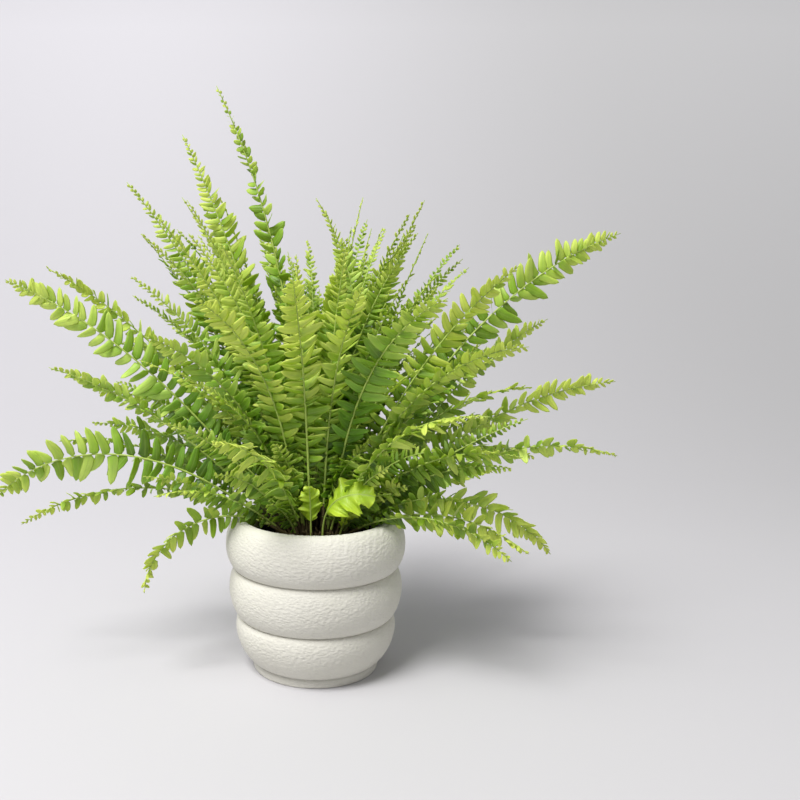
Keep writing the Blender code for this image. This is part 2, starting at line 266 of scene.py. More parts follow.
def makeMottle():
    # two colours blended by soft patches, darkened in fine grain, with a height for the grain
    group, given, out = newGroup(
        "mottle",
        {"Light": (0.8, 0.8, 0.8), "Dark": (0.5, 0.5, 0.5),
         "Patch Scale": 20.0, "Grain Scale": 400.0, "Grain": 0.2},
        {"Colour": tuple, "Height": float},
    )
    place, calc = objectPlace(group), calculator(group)
    patch = noiseNode(group, given.outputs["Patch Scale"], 4.0, 0.55, place)
    grain = noiseNode(group, given.outputs["Grain Scale"], 3.0, 0.6, place)
    patchShare = calc("SUBTRACT", calc("MULTIPLY", patch, 2.2), 0.6, clamp=True)
    grainShare = calc("MULTIPLY", calc("SUBTRACT", 0.62, grain), given.outputs["Grain"])
    share = calc("ADD", patchShare, calc("MULTIPLY", grainShare, 4.0), clamp=True)
    colour = mixColour(group, share, given.outputs["Light"], given.outputs["Dark"])
    group.links.new(colour, out.inputs["Colour"])
    group.links.new(grain, out.inputs["Height"])
    return group


leafLook = {
    # edge and end set painted light on the leaflets: a highlight at their rims, shade at their feet
    "patchScale": 90.0, "fineScale": 900.0, "edge": 0.24, "end": 0.38, "blotch": 0.5, "ribWidth": 0.14,
    "ribShare": 0.45, "ribDepth": 0.9, "veins": 13.0, "veinLean": 1.6, "veinHeight": 0.6, "fineHeight": 0.35,
    "smoothest": 0.30, "roughSpread": 0.22, "specular": 0.62, "bump": 0.5, "bumpDepth": 0.0004,
    "rib": (0.45, 0.6, 0.15), "cool": (0.70, 1.0, 1.3), "lightThrough": 0.38,
}


def makeLeafSurface():
    # leafData holds the place along the leaflet, the distance from its midrib, the tone and how cool it is;
    # the shade is the tone, lighter at the edges as a painted highlight, darker at the foot as painted shade
    # and lighter at the end, blotched by noise, run through three greens
    look = leafLook
    group, given, out = newGroup(
        "leafSurface",
        {"Deep": (0.05, 0.15, 0.01), "Middle": (0.15, 0.36, 0.03), "Light": (0.4, 0.6, 0.06),
         "Rib": look["rib"], "Rib Width": look["ribWidth"], "Cool": look["cool"]},
        {"Colour": tuple, "Roughness": float, "Height": float},
    )
    read = group.nodes.new("ShaderNodeAttribute")
    read.attribute_name = "leafData"
    split = group.nodes.new("ShaderNodeSeparateColor")
    group.links.new(read.outputs["Color"], split.inputs["Color"])
    along, across, tone = split.outputs[0], split.outputs[1], split.outputs[2]
    place, calc = objectPlace(group), calculator(group)
    patch = noiseNode(group, look["patchScale"], 2.0, 0.5, place)
    fine = noiseNode(group, look["fineScale"], 2.0, 0.6, place)
    # painted highlight: the leaflet is lighter towards its rims
    edge = calc("MULTIPLY", calc("POWER", across, 3.0), look["edge"])
    # painted shade at the leaflet's foot and painted light towards its end
    end = calc("MULTIPLY", calc("SUBTRACT", along, 0.5), look["end"])
    blotch = calc("MULTIPLY", calc("SUBTRACT", patch, 0.5), look["blotch"])
    shade = calc("ADD", calc("ADD", tone, edge), calc("ADD", end, blotch))
    lower = calc("MULTIPLY", shade, 2.0, clamp=True)
    upper = calc("SUBTRACT", calc("MULTIPLY", shade, 2.0), 1.0, clamp=True)
    green = mixColour(group, lower, given.outputs["Deep"], given.outputs["Middle"])
    green = mixColour(group, upper, green, given.outputs["Light"])
    green = mixColour(group, read.outputs["Alpha"], green, given.outputs["Cool"], "MULTIPLY")
    fromRib = calc("DIVIDE", across, given.outputs["Rib Width"])
    rib = calc("SUBTRACT", 1.0, fromRib, clamp=True)
    ribShare = calc("MULTIPLY", rib, look["ribShare"])
    colour = mixColour(group, ribShare, green, given.outputs["Rib"])
    # side veins: stripes that lean forwards from the midrib
    stripe = calc("MULTIPLY", along, look["veins"])
    lean = calc("SUBTRACT", stripe, calc("MULTIPLY", across, look["veinLean"]))
    swing = calc("SINE", calc("MULTIPLY", lean, 3.1416))
    vein = calc("POWER", calc("ABSOLUTE", swing), 0.5)
    grain = calc("MULTIPLY", fine, look["fineHeight"])
    height = calc("ADD", calc("MULTIPLY", vein, look["veinHeight"]), grain)
    height = calc("SUBTRACT", height, calc("MULTIPLY", rib, look["ribDepth"]))
    group.links.new(colour, out.inputs["Colour"])
    spread = calc("MULTIPLY", fine, look["roughSpread"])
    rough = calc("ADD", look["smoothest"], spread)
    group.links.new(rough, out.inputs["Roughness"])
    group.links.new(height, out.inputs["Height"])
    return group


mottle = makeMottle()
leafSurface = makeLeafSurface()


def leafMaterial(name, colours):
    # a glossy leaf that lets a share of the light through
    material, tree, shader = newMaterial(name, 0.42)
    shader.inputs["Specular IOR Level"].default_value = leafLook["specular"]
    surface = useGroup(
        tree, leafSurface, Deep=colours["deep"], Middle=colours["middle"], Light=colours["light"]
    )
    tree.links.new(surface.outputs["Colour"], shader.inputs["Base Color"])
    tree.links.new(surface.outputs["Roughness"], shader.inputs["Roughness"])
    addBump(tree, shader, surface.outputs["Height"], leafLook["bump"], leafLook["bumpDepth"])
    glow = tree.nodes.new("ShaderNodeBsdfTranslucent")
    glow.inputs["Color"].default_value = (*colours["through"], 1.0)
    mix = tree.nodes.new("ShaderNodeMixShader")
    mix.inputs["Fac"].default_value = leafLook["lightThrough"]
    tree.links.new(shader.outputs["BSDF"], mix.inputs[1])
    tree.links.new(glow.outputs["BSDF"], mix.inputs[2])
    tree.links.new(mix.outputs["Shader"], tree.nodes["Material Output"].inputs["Surface"])
    return material


finishes = {  # roughness, light and dark colour, patch and grain scale, grain share, bump strength and depth
    "stalkOlive": (0.5, (0.48, 0.62, 0.13), (0.30, 0.40, 0.07), 60.0, 900.0, 0.1, 0.2, 0.0003),
    "stalkBaseBrown": (0.7, (0.20, 0.17, 0.06), (0.07, 0.04, 0.02), 90.0, 900.0, 0.2, 0.4, 0.0004),
    "growPotPlastic": (0.42, (0.020, 0.020, 0.021), (0.034, 0.032, 0.030), 40.0, 1200.0, 0.1, 0.15, 0.0003),
    "soilBrown": (0.95, (0.060, 0.038, 0.022), (0.014, 0.009, 0.006), 160.0, 1100.0, 0.5, 0.9, 0.0012),
    "barkCrumb": (0.9, (0.13, 0.075, 0.04), (0.05, 0.03, 0.018), 300.0, 1500.0, 0.4, 0.6, 0.0006),
    "perliteCrumb": (0.9, (0.62, 0.60, 0.56), (0.45, 0.42, 0.38), 300.0, 1500.0, 0.3, 0.6, 0.0006),
    "rhizomeBrown": (0.85, (0.21, 0.13, 0.06), (0.06, 0.035, 0.018), 220.0, 1200.0, 0.5, 0.9, 0.0009),
}


def mottledMaterial(name):
    # the finish's two colours in soft patches, with its grain as bump
    roughness, light, dark, patch, grain, grainShare, bump, depth = finishes[name]
    material, tree, shader = newMaterial(name, roughness)
    surface = useGroup(
        tree, mottle, Light=light, Dark=dark, Patch_Scale=patch, Grain_Scale=grain, Grain=grainShare
    )
    tree.links.new(surface.outputs["Colour"], shader.inputs["Base Color"])
    addBump(tree, shader, surface.outputs["Height"], bump, depth)
    return material


greens = {
    "deep": (0.045, 0.115, 0.006), "middle": (0.290, 0.480, 0.030), "light": (0.820, 0.900, 0.180),
    "through": (0.74, 0.88, 0.10),
}
limes = {
    "deep": (0.200, 0.380, 0.015), "middle": (0.460, 0.680, 0.030), "light": (0.700, 0.860, 0.080),
    "through": (0.78, 0.92, 0.06),
}
leafGreen = leafMaterial("frondGreen", greens)
youngGreen = leafMaterial("youngFrondLime", limes)
stalkGreen = mottledMaterial("stalkOlive")
stalkBrown = mottledMaterial("stalkBaseBrown")
print("leaf and stalk materials made")

pot = {
    "footRadius": 0.0545, "footHeight": 0.0072, "footEdge": 0.0012,
    "ringHeights": (0.0400, 0.0422, 0.0428), "ringRadii": (0.0678, 0.0748, 0.0776),
    "grooves": (0.0531, 0.0652, 0.0684, 0.0678), "sharpness": 1.22,
    "lip": 0.0024, "wall": 0.0062, "taper": 0.0080, "floor": 0.0080,
    "steps": 480, "lump": 0.0046, "lumpHeight": 0.00006, "dent": 0.0026, "dentHeight": 0.00011,
}


def potProfile():
    # each ring swells between its grooves as a power of a half sine; the lip is rounded; the inside tapers
    height = pot["footHeight"] + sum(pot["ringHeights"])
    mouth = pot["grooves"][-1] - pot["wall"]
    foot = np.array([[0.0, 0.0], [0.02, 0.0], [0.04, 0.0], [pot["footRadius"] - pot["footEdge"], 0.0]])
    turn = np.linspace(0, np.pi / 2, 6)[1:]
    edge = pot["footEdge"]
    footEdge = np.stack([pot["footRadius"] - edge + edge * np.sin(turn), edge - edge * np.cos(turn)], 1)
    footSide = np.array([[pot["footRadius"], 0.0035], [pot["footRadius"], pot["footHeight"] - 0.0008]])
    rows = [foot, footEdge, footSide]
    low = pot["footHeight"]
    around = np.linspace(0, np.pi, 44, endpoint=False)
    share = 0.5 - 0.5 * np.cos(around)
    swell = np.sin(around) ** pot["sharpness"]
    for index, tall in enumerate(pot["ringHeights"]):
        below, above = pot["grooves"][index], pot["grooves"][index + 1]
        radius = below + (above - below) * share + (pot["ringRadii"][index] - (below + above) / 2) * swell
        rows.append(np.stack([radius, low + share * tall], 1))
        low += tall
    lipTurn = np.linspace(np.pi / 4, np.pi / 2, 5)
    lip, inner = pot["lip"], pot["lip"] / 2
    lipMiddle = pot["grooves"][-1] - lip
    rows.append(np.stack([lipMiddle + lip * np.cos(lipTurn), height - lip * (1 - np.sin(lipTurn))], 1))
    innerTurn = np.linspace(np.pi / 2, np.pi, 5)
    innerRadius = mouth + inner + inner * np.cos(innerTurn)
    rows.append(np.stack([innerRadius, height - inner * (1 - np.sin(innerTurn))], 1))
    depth = np.linspace(height - 2 * inner, pot["floor"] + pot["wall"], 26)
    narrow = mouth - pot["taper"] * (height - depth) / (height - pot["floor"])
    rows.append(np.stack([narrow, depth], 1))
    floorRadius = narrow[-1] - pot["wall"] / 2
    rows.append(np.array([[floorRadius, pot["floor"]], [0.02, pot["floor"]], [0.0, pot["floor"]]]))
    return np.concatenate(rows)


def potRelief(points, ring):
    # soft lumps with finer dents on them, faded out under the foot and inside the pot
    outside = np.clip((ring[:, 1] - 0.001) / 0.004, 0, 1) * (ring[:, 0] > 0.0535)
    lump = waves(points, pot["lump"], 3) * pot["lumpHeight"]
    dent = -np.abs(waves(points, pot["dent"], 4)) * pot["dentHeight"]
    return (lump + dent) * outside[:, None]


ceramic = {
    "light": (0.705, 0.689, 0.617), "dark": (0.635, 0.619, 0.546), "patchScale": 14.0, "grainScale": 420.0,
    "grain": 0.10, "flatness": 1.7, "cellScale": 330.0, "cellSmooth": 0.6, "cellHeight": 0.8,
    "coarseScale": 260.0, "fineScale": 1300.0, "fineHeight": 0.12, "bump": 0.55, "bumpDepth": 0.0010,
}


def makeCeramic():
    # a matt slip: warm white, a little darker in its dents, with a leathery stipple
    material, tree, shader = newMaterial("mattCeramic", 0.78)
    place = objectPlace(tree)
    surface = useGroup(tree, mottle, Light=ceramic["light"], Dark=ceramic["dark"], Grain=ceramic["grain"],
                       Patch_Scale=ceramic["patchScale"], Grain_Scale=ceramic["grainScale"])
    tree.links.new(surface.outputs["Colour"], shader.inputs["Base Color"])
    flat = tree.nodes.new("ShaderNodeMapping")  # the stipple is wider than it is tall
    flat.inputs["Scale"].default_value = (1.0, 1.0, ceramic["flatness"])
    tree.links.new(place, flat.inputs["Vector"])
    cells = tree.nodes.new("ShaderNodeTexVoronoi")
    cells.feature = "SMOOTH_F1"
    cells.inputs["Scale"].default_value = ceramic["cellScale"]
    cells.inputs["Smoothness"].default_value = ceramic["cellSmooth"]
    tree.links.new(flat.outputs["Vector"], cells.inputs["Vector"])
    coarse = noiseNode(tree, ceramic["coarseScale"], 3.0, 0.55, flat.outputs["Vector"])
    fine = noiseNode(tree, ceramic["fineScale"], 2.0, 0.5, place)
    cell = mathNode(tree, "MULTIPLY", cells.outputs["Distance"], ceramic["cellHeight"])
    height = mathNode(tree, "ADD", cell, coarse)
    height = mathNode(tree, "ADD", height, mathNode(tree, "MULTIPLY", fine, ceramic["fineHeight"]))
    addBump(tree, shader, height, ceramic["bump"], ceramic["bumpDepth"])
    return material


makePiece("ceramicPot", turnedMesh("ceramicPot", potProfile(), pot["steps"], potRelief), [makeCeramic()],
          ["ceramic_pot"])
print("ceramic pot made")

plastic = mottledMaterial("growPotPlastic")
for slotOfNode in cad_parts["nursery_pot"].material_slots:
    slotOfNode.material = plastic

soil = {
    "rings": 46, "steps": 150, "lumpHeight": 0.0011, "edgeDrop": 0.0020, "edgeWidth": 0.006,
    "crumbs": 620, "smallest": 0.0008, "largest": 0.0026, "barkFrom": 0.72, "perliteFrom": 0.965,
}
soilLow, soilHigh = (np.array(corner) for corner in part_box("potting_soil"))
crownLow, crownHigh = (np.array(corner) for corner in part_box("crown"))
crownRadius = (crownHigh[0] - crownLow[0]) / 2


def soilDrop(distance):
    # how far the soil lies lower near its edge, at this distance from the middle
    radius = (soilHigh[0] - soilLow[0]) / 2
    wide = soil["edgeWidth"]
    return soil["edgeDrop"] * np.clip((distance - radius + wide) / wide, 0, 1) ** 1.5


def soilMesh():
    # the soil's own outline: a taper up the side, a rounded shoulder, and a lumpy top
    radius = (soilHigh[0] - soilLow[0]) / 2
    wide = np.linspace(radius - 0.0004, 0.0, soil["rings"])
    top = np.stack([wide, soilHigh[2] - soilDrop(wide) - 0.0004], 1)
    nodePoints = np.empty(len(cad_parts["potting_soil"].data.vertices) * 3, np.float32)
    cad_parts["potting_soil"].data.vertices.foreach_get("co", nodePoints)
    nodePoints = nodePoints.reshape(-1, 3)
    floorPoints = nodePoints[nodePoints[:, 2] < soilLow[2] + 0.0005]
    lowRadius = np.hypot(floorPoints[:, 0], floorPoints[:, 1]).max() - 0.0002
    half = [(lowRadius + radius) / 2 - 0.0002, (soilLow[2] + soilHigh[2]) / 2]
    side = np.array([[0.0, soilLow[2]], [lowRadius, soilLow[2]], half])

    def lumps(points, ring):  # three sizes of smooth noise, always downwards, on the top only
        up = np.clip((ring[:, 1] - soilHigh[2] + 0.006) / 0.004, 0, 1)
        rough = waves(points, 0.011, 11) * 0.5 + waves(points, 0.0045, 12) * 0.35
        rough = rough + waves(points, 0.0022, 13) * 0.2
        return -np.abs(rough) * soil["lumpHeight"] * up[:, None]

    return turnedMesh("pottingSoil", np.concatenate([side, top]), soil["steps"], lumps)


soilBrown = mottledMaterial("soilBrown")
makePiece("pottingSoil", soilMesh(), [soilBrown], ["potting_soil"])


def lumpTubes(centre, size, stations, loop, dice):
    # small closed lumps: rings of a sphere, each lump stretched and turned its own way
    count = len(centre)
    v = np.linspace(0.12, np.pi - 0.12, stations)
    angle = np.linspace(0, 2 * np.pi, loop, endpoint=False)
    ring, level = np.sin(v)[:, None], np.repeat(np.cos(v)[:, None], loop, 1)
    ball = np.stack([ring * np.cos(angle), ring * np.sin(angle), level], -1)
    stretch = dice.uniform(0.55, 1.25, (count, 1, 1, 3))
    stretch = stretch * dice.uniform(0.75, 1.25, (count, stations, loop, 1))
    turn = np.linalg.qr(dice.normal(size=(count, 3, 3)))[0]
    turn = turn * np.sign(np.linalg.det(turn))[:, None, None]
    shaped = np.einsum("nij,nslj->nsli", turn, ball[None] * stretch)
    return centre[:, None, None] + shaped * size[:, None, None, None]


def makeCrumbs():
    # crumbs scattered between the crown and the soil's edge, most of them small, a few of bark and perlite
    dice = np.random.default_rng(21)
    count = soil["crumbs"]
    radius = (soilHigh[0] - soilLow[0]) / 2
    nearest = crownRadius * 0.9
    spread = nearest + (radius - 0.0035 - nearest) * dice.uniform(0, 1, count) ** 0.8
    angle = dice.uniform(0, 2 * np.pi, count)
    size = soil["smallest"] + (soil["largest"] - soil["smallest"]) * dice.uniform(0, 1, count) ** 2.2
    height = soilHigh[2] - 0.0008 - soilDrop(spread) + size * 0.45
    centre = np.stack([spread * np.cos(angle), spread * np.sin(angle), height], 1)
    points = lumpTubes(centre, size, 4, 6, dice).reshape(-1, 3)
    faces = outwards(points, tubeFaces(count, 4, 6), count)
    shade = dice.uniform(0, 1, count)
    pick = (shade > soil["barkFrom"]).astype(int) + (shade > soil["perliteFrom"]).astype(int)
    pick = np.repeat(pick, len(faces) // count)
    mesh = makeMesh("soilCrumbs", points, [faces], pick)
    materials = [soilBrown, mottledMaterial("barkCrumb"), mottledMaterial("perliteCrumb")]
    makePiece("soilCrumbs", mesh, materials)


makeCrumbs()
print("soil made")

crownForm = {"rings": 34, "steps": 110, "lump": 0.0011, "stubs": 120, "stubRadius": 0.0012, "shoulder": 0.25}


def crownTop(share):
    # a dome over a short upright edge, as its node has
    dome = np.sqrt(np.maximum(0.0, 1 - share * share))
    rise = crownForm["shoulder"] + (1 - crownForm["shoulder"]) * dome
    return crownLow[2] + (crownHigh[2] - crownLow[2]) * rise


def makeCrown():
    # a knobbly dome, and on it the stubs of old stalks: short tapered tubes that lean outwards
    share = np.sin(np.linspace(np.pi / 2, 0, crownForm["rings"]))
    side = np.array([[0.0, crownLow[2]], [crownRadius * 0.5, crownLow[2]],
                     [crownRadius - 0.0003, crownLow[2]]])
    profile = np.concatenate([side, np.stack([crownRadius * share, crownTop(share) - 0.0003], 1)])

    def knobs(points, ring):  # two sizes of smooth noise, always inwards
        knob = waves(points, 0.006, 31) * 0.6 + waves(points, 0.0028, 32) * 0.4
        return -np.abs(knob) * crownForm["lump"] * (ring[:, 1] > crownLow[2] + 0.001)[:, None]

    root = mottledMaterial("rhizomeBrown")
    mesh = turnedMesh("crownClump", profile, crownForm["steps"], knobs)
    makePiece("crownClump", mesh, [root], ["crown"])
    dice = np.random.default_rng(41)
    count = crownForm["stubs"]
    place = np.sqrt(dice.uniform(0.02, 0.92, count))
    angle = dice.uniform(0, 2 * np.pi, count)
    east, north = np.cos(angle) * place, np.sin(angle) * place
    foot = np.stack([crownRadius * east, crownRadius * north, crownTop(place) - 0.001], 1)
    lean = unit(np.stack([east, north, np.full(count, 0.75)], 1) + dice.normal(size=(count, 3)) * 0.3)
    long = dice.uniform(0.004, 0.013, count)
    along = np.linspace(0, 1, 4)
    path = foot[:, None] + lean[:, None] * (along[None, :, None] * long[:, None, None])
    side = unit(np.cross(lean, np.array([0.3, 0.2, 0.1])))
    other = np.cross(lean, side)
    turn = np.linspace(0, 2 * np.pi, 6, endpoint=False)
    ring = side[:, None] * np.cos(turn)[None, :, None] + other[:, None] * np.sin(turn)[None, :, None]
    radius = crownForm["stubRadius"] * (1.25 - 0.75 * along)[None, :] * dice.uniform(0.6, 1.2, count)[:, None]
    points = (path[:, :, None] + ring[:, None] * radius[:, :, None, None]).reshape(-1, 3)
    faces = outwards(points, tubeFaces(count, 4, 6), count)
    makePiece("crownStubs", makeMesh("crownStubs", points, [faces]), [stalkBrown])


makeCrown()
print("crown made")

frondForm = {
    "stalkRings": 3, "notch": 0.40, "bladeStart": 0.24, "samples": 120,
    "stalkRadius": 0.00125, "tipRadius": 0.00030, "stalkLoop": 6, "stalkStations": 34,
}
leafletForm = {
    "stations": np.array([0.0, 0.11, 0.36, 0.64, 0.87, 1.0]),
    "across": np.array([-1.0, -0.7, 0.0, 0.7, 1.0, 0.7, 0.0, -0.7]),
    "side": np.array([0.0, 1.0, 1.0, 1.0, 0.0, -1.0, -1.0, -1.0]),
    "thickness": 0.00034, "shortest": 0.0030, "closest": 0.0046, "narrowest": 0.0027,
    "lengths": (0.78, 1.10), "drift": 10, "tipLean": 24, "leanSpread": 8, "tipSlim": 0.5, "curl": 14,
    "roundness": 3.4, "earPlace": 0.11, "earWidth": 0.10, "earFront": 0.34, "earBack": -0.10,
}


def nodeRings(node):
    # a frond's node is a loft of four-point rings; a ring is every corner as many edges from the foot
    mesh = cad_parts[node].data
    flat = np.empty(len(mesh.vertices) * 3, np.float32)
    mesh.vertices.foreach_get("co", flat)
    loops = np.empty(len(mesh.loops), np.int32)
    mesh.loops.foreach_get("vertex_index", loops)
    points, index = np.unique(np.round(flat.reshape(-1, 3).astype(float), 6), axis=0, return_inverse=True)
    corners = index.reshape(-1)[loops].reshape(-1, 3)
    linked = np.zeros((len(points), len(points)), bool)
    for first, second in ((0, 1), (1, 2), (2, 0)):
        linked[corners[:, first], corners[:, second]] = True
        linked[corners[:, second], corners[:, first]] = True
    middle = np.array([0.0, 0.0, crownLow[2]])
    nearest = points[np.argmin(np.linalg.norm(points - middle, axis=1))]
    front = np.argsort(np.linalg.norm(points - nearest, axis=1))[:4]
    seen = np.zeros(len(points), bool)
    rings = []
    while len(front):
        seen[front] = True
        rings.append(points[front])
        front = np.nonzero(linked[front].any(0) & ~seen)[0]
    return rings


def frondLine(node):
    # the middle, the way across and the half width at each ring of the node
    rings = nodeRings(node)
    middle = np.array([ring.mean(0) for ring in rings])
    across, half = [], []
    for ring in rings:
        gap = ring[:, None] - ring[None]
        far = np.linalg.norm(gap, axis=-1)
        pair = np.unravel_index(np.argmax(far), far.shape)
        across.append(unit(gap[pair]))
        half.append(far[pair] / 2)
    across, half = np.array(across), np.array(half)
    start = frondForm["stalkRings"] + 1
    across[:start] = across[start]
    for index in range(start, len(across)):
        if across[index] @ across[index - 1] < 0:
            across[index] *= -1
    notched = 1 - frondForm["notch"] * ((np.arange(len(half)) - frondForm["stalkRings"]) % 2)
    half[start:] = (half / notched)[start:]
    return middle, across, half


def smoothLine(points, place, count):
    # a cubic through the points, with slopes from their neighbours, read at evenly spaced places
    slope = np.gradient(points, place, axis=0)
    want = np.linspace(place[0], place[-1], count)
    index = np.clip(np.searchsorted(place, want, side="right") - 1, 0, len(place) - 2)
    step = (place[index + 1] - place[index])[:, None]
    t = (want - place[index])[:, None] / step
    first, second = points[index], points[index + 1]
    return (
        (1 + 2 * t) * (1 - t) ** 2 * first + t * (1 - t) ** 2 * step * slope[index]
        + t**2 * (3 - 2 * t) * second + t**2 * (t - 1) * step * slope[index + 1]
    )


def frondFrame(middle, across, half):
    # evenly spaced places along the frond: the line, its way along, across and up, and the half width
    place = np.concatenate([[0], np.cumsum(np.linalg.norm(np.diff(middle, axis=0), axis=1))])
    count = frondForm["samples"]
    line = smoothLine(middle, place, count)
    even = np.linspace(0, place[-1], count)
    side = np.stack([np.interp(even, place, across[:, axis]) for axis in range(3)], 1)
    along = unit(np.gradient(line, axis=0))
    side = unit(side - along * (side * along).sum(1, keepdims=True))
    up = np.cross(along, side)
    if up[count // 2] @ np.array([0.0, -0.45, 1.0]) < 0:
        side, up = -side, -up
    width = np.interp(even, place, half)
    return {"line": line, "along": along, "side": side, "up": up, "half": width, "length": place[-1]}


def readAt(values, share):
    # values read between their evenly spaced places
    grid = np.linspace(0, 1, len(values))
    if values.ndim == 1:
        return np.interp(share, grid, values)
    return np.stack([np.interp(share, grid, values[:, axis]) for axis in range(values.shape[1])], 1)


def leafletPlaces(frond, style):
    # leaflets stand closer where they are shorter: their number up to a place is the sum of 1 / spacing
    share = np.linspace(style["firstLeaflet"], 0.995, 300)
    start = frondForm["bladeStart"]
    nearTip = np.clip((share - 0.65) / 0.25, 0, 1)
    length = readAt(frond["half"], share) * style["leafletReach"] * (1 + style["tipFull"] * nearTip)
    early = np.clip((share - style["firstLeaflet"]) / max(start + 0.07 - style["firstLeaflet"], 0.01), 0, 1)
    full = readAt(frond["half"], np.full(1, start + 0.14))[0] * style["leafletReach"]
    length = np.where(share < start + 0.07, full * (0.30 + 0.55 * early), length)
    length = np.maximum(length, leafletForm["shortest"])
    spacing = np.maximum(length * style["spacing"], leafletForm["closest"]) * (1 + 0.5 * (1 - early))
    number = np.cumsum(frond["length"] * np.gradient(share) / spacing)
    count = int(number[-1])
    where = np.interp(np.arange(count) + 0.5, number, share)
    return where, np.interp(where, share, length)


def makeLeaflets(frond, style, dice):
    # both rows of leaflets: each leans forwards, bends towards the tip, sags, folds and twists a little
    grids, datas = [], []
    form = leafletForm
    rollStart, foldStart = dice.uniform(0, 2 * np.pi, 2)
    u = form["stations"][None, :, None]
    q = form["across"][None, None, :]
    face = form["side"][None, None, :]
    for hand in (-1.0, 1.0):
        where, length = leafletPlaces(frond, style)
        if hand > 0:
            where = where + 0.5 * np.gradient(where)
            where = np.minimum(where, 0.998)
        count = len(where)
        length = length * dice.uniform(*form["lengths"], count)
        base = readAt(frond["line"], where)
        along, side, up = (readAt(frond[key], where) for key in ("along", "side", "up"))
        roll = np.radians(style["roll"] * np.sin(where * style["rollTurns"] + rollStart))[:, None]
        side, up = side * np.cos(roll) + up * np.sin(roll), up * np.cos(roll) - side * np.sin(roll)
        drift = form["drift"] * np.sin(where * 9 + foldStart + hand)
        lean = style["lean"] + form["tipLean"] * where**4 + dice.normal(0, form["leanSpread"], count)
        lean = np.radians(lean)[:, None]
        fold = np.radians(style["fold"] + drift + dice.normal(0, style["foldSpread"], count))[:, None]
        level = side * hand * np.cos(fold) + up * np.sin(fold)
        out = unit(level * np.cos(lean) + along * np.sin(lean))
        ahead = unit(along - out * (along * out).sum(1, keepdims=True))
        above = np.cross(ahead, out) * hand
        above = above * np.sign((above * up).sum(1, keepdims=True))
        slim = style["slimness"] * (1 + form["tipSlim"] * np.clip(where - 0.7, 0, 1) / 0.3)
        width = np.maximum(length * slim, form["narrowest"])[:, None, None]
        size = length[:, None, None]
        shape = np.minimum(1.0, u / 0.12) ** 0.6 * (1 - u ** form["roundness"]) ** 0.55
        shape = np.maximum(shape, 0.11 * (1 - u) + 0.05)
        # a small ear at the foot's front edge, as a bell curve along the leaflet
        ear = np.exp(-(((u - form["earPlace"]) / form["earWidth"]) ** 2))
        shape = shape * (1 + ear * np.where(q > 0, form["earFront"], form["earBack"]))
        twist = np.radians(dice.normal(style["twist"], style["twistSpread"], (count, 1, 1)))
        turn = twist + np.radians(dice.normal(0, form["curl"], (count, 1, 1))) * u
        curve = dice.normal(style["hook"], 0.05, (count, 1, 1))
        sag = dice.normal(style["sag"], style["sagSpread"], (count, 1, 1))
        cup = dice.normal(style["cup"], 0.05, (count, 1, 1))
        waveCount, waveStart = dice.uniform(7, 12, (count, 1, 1)), dice.uniform(0, 6.28, (count, 1, 1))
        ripple = np.sin(u * waveCount + waveStart + (q > 0) * 1.7)
        lateral = q * shape * width / 2
        reach = size * u * (1 - 0.10 * np.abs(sag) * u)
        forward = size * curve * u**2 + lateral * np.cos(turn)
        lift = -size * sag * u**2 + lateral * np.sin(turn) - cup * width * q**2 * shape
        lift = lift + ripple * np.abs(q) * width * style["ripple"] + face * form["thickness"] / 2
        points = (
            base[:, None, None] + out[:, None, None] * reach[..., None]
            + ahead[:, None, None] * forward[..., None] + above[:, None, None] * lift[..., None]
        )
        # the tone rises towards the frond's tip: partly the paler young growth there, partly painted light,
        # the outer parts lit more than the plant's shaded middle
        tone = style["tone"] + style["tipGlow"] * (where - 0.45) + dice.normal(0, style["toneSpread"], count)
        data = np.zeros((count, u.shape[1], q.shape[2], 4))
        data[..., 0] = u
        data[..., 1] = np.abs(q)
        data[..., 2] = np.clip(tone, 0.02, 1)[:, None, None]
        data[..., 3] = np.clip(style["cool"] * (1.25 - 1.2 * where), 0, 1)[:, None, None]
        grids.append(points)
        datas.append(data)
    return grids, datas


def makeYoungBlade(frond, style, dice):
    # one broad blade whose edge swings in and out in lobes and ruffles more the further it is from the midrib
    t = np.linspace(0, 1, 90)
    share = style["bladeFrom"] + (1 - style["bladeFrom"]) * t
    angle = np.linspace(0, 2 * np.pi, 24, endpoint=False)[None]
    q = -np.cos(angle)
    face = np.sin(angle)
    t = t[:, None]
    line, along, side, up = (readAt(frond[key], share)[:, None] for key in ("line", "along", "side", "up"))
    half = frond["half"].max() * style["reach"]
    outline = np.sqrt(np.maximum(0.0, 1 - (2 * (t**0.8) - 1) ** 2)) * (1 - 0.35 * t) + 0.02
    start = dice.uniform(0, 1)
    lobe = np.abs(np.sin(np.pi * (style["lobes"] * t + start + 0.35 * (q > 0))))
    tooth = np.sin(2 * np.pi * (style["lobes"] * 3.4 * t + 0.3 * (q > 0)))
    edge = 1 - style["notch"] * np.abs(q) ** 2 * (1 - lobe**0.7) + 0.05 * np.abs(q) ** 4 * tooth
    lateral = q * half * outline * edge
    wave = np.sin(style["ruffles"] * t + dice.uniform(0, 6) + 2.1 * (q > 0)) + 0.5 * np.sin(47 * t + 5 * q)
    lift = half * (style["ruffle"] * wave * np.abs(q) ** 1.6 * outline - style["cup"] * q**2 * outline)
    lift = lift + face * leafletForm["thickness"] * 0.6 * np.minimum(1, outline * 4)
    forward = np.abs(lateral) * style["sweep"]
    points = line + side * lateral[..., None] + up * lift[..., None] + along * forward[..., None]
    data = np.zeros(points.shape[:2] + (4,))
    data[..., 0] = (np.abs(q) * 0.6 + style["lobes"] * t) % 1.0
    data[..., 1] = np.abs(q)
    # painted highlight: the tone is lighter towards the blade's rims
    data[..., 2] = np.clip(style["tone"] + style["tipGlow"] * (np.abs(q) - 0.5), 0.02, 1)
    return [points[None]], [data[None]]


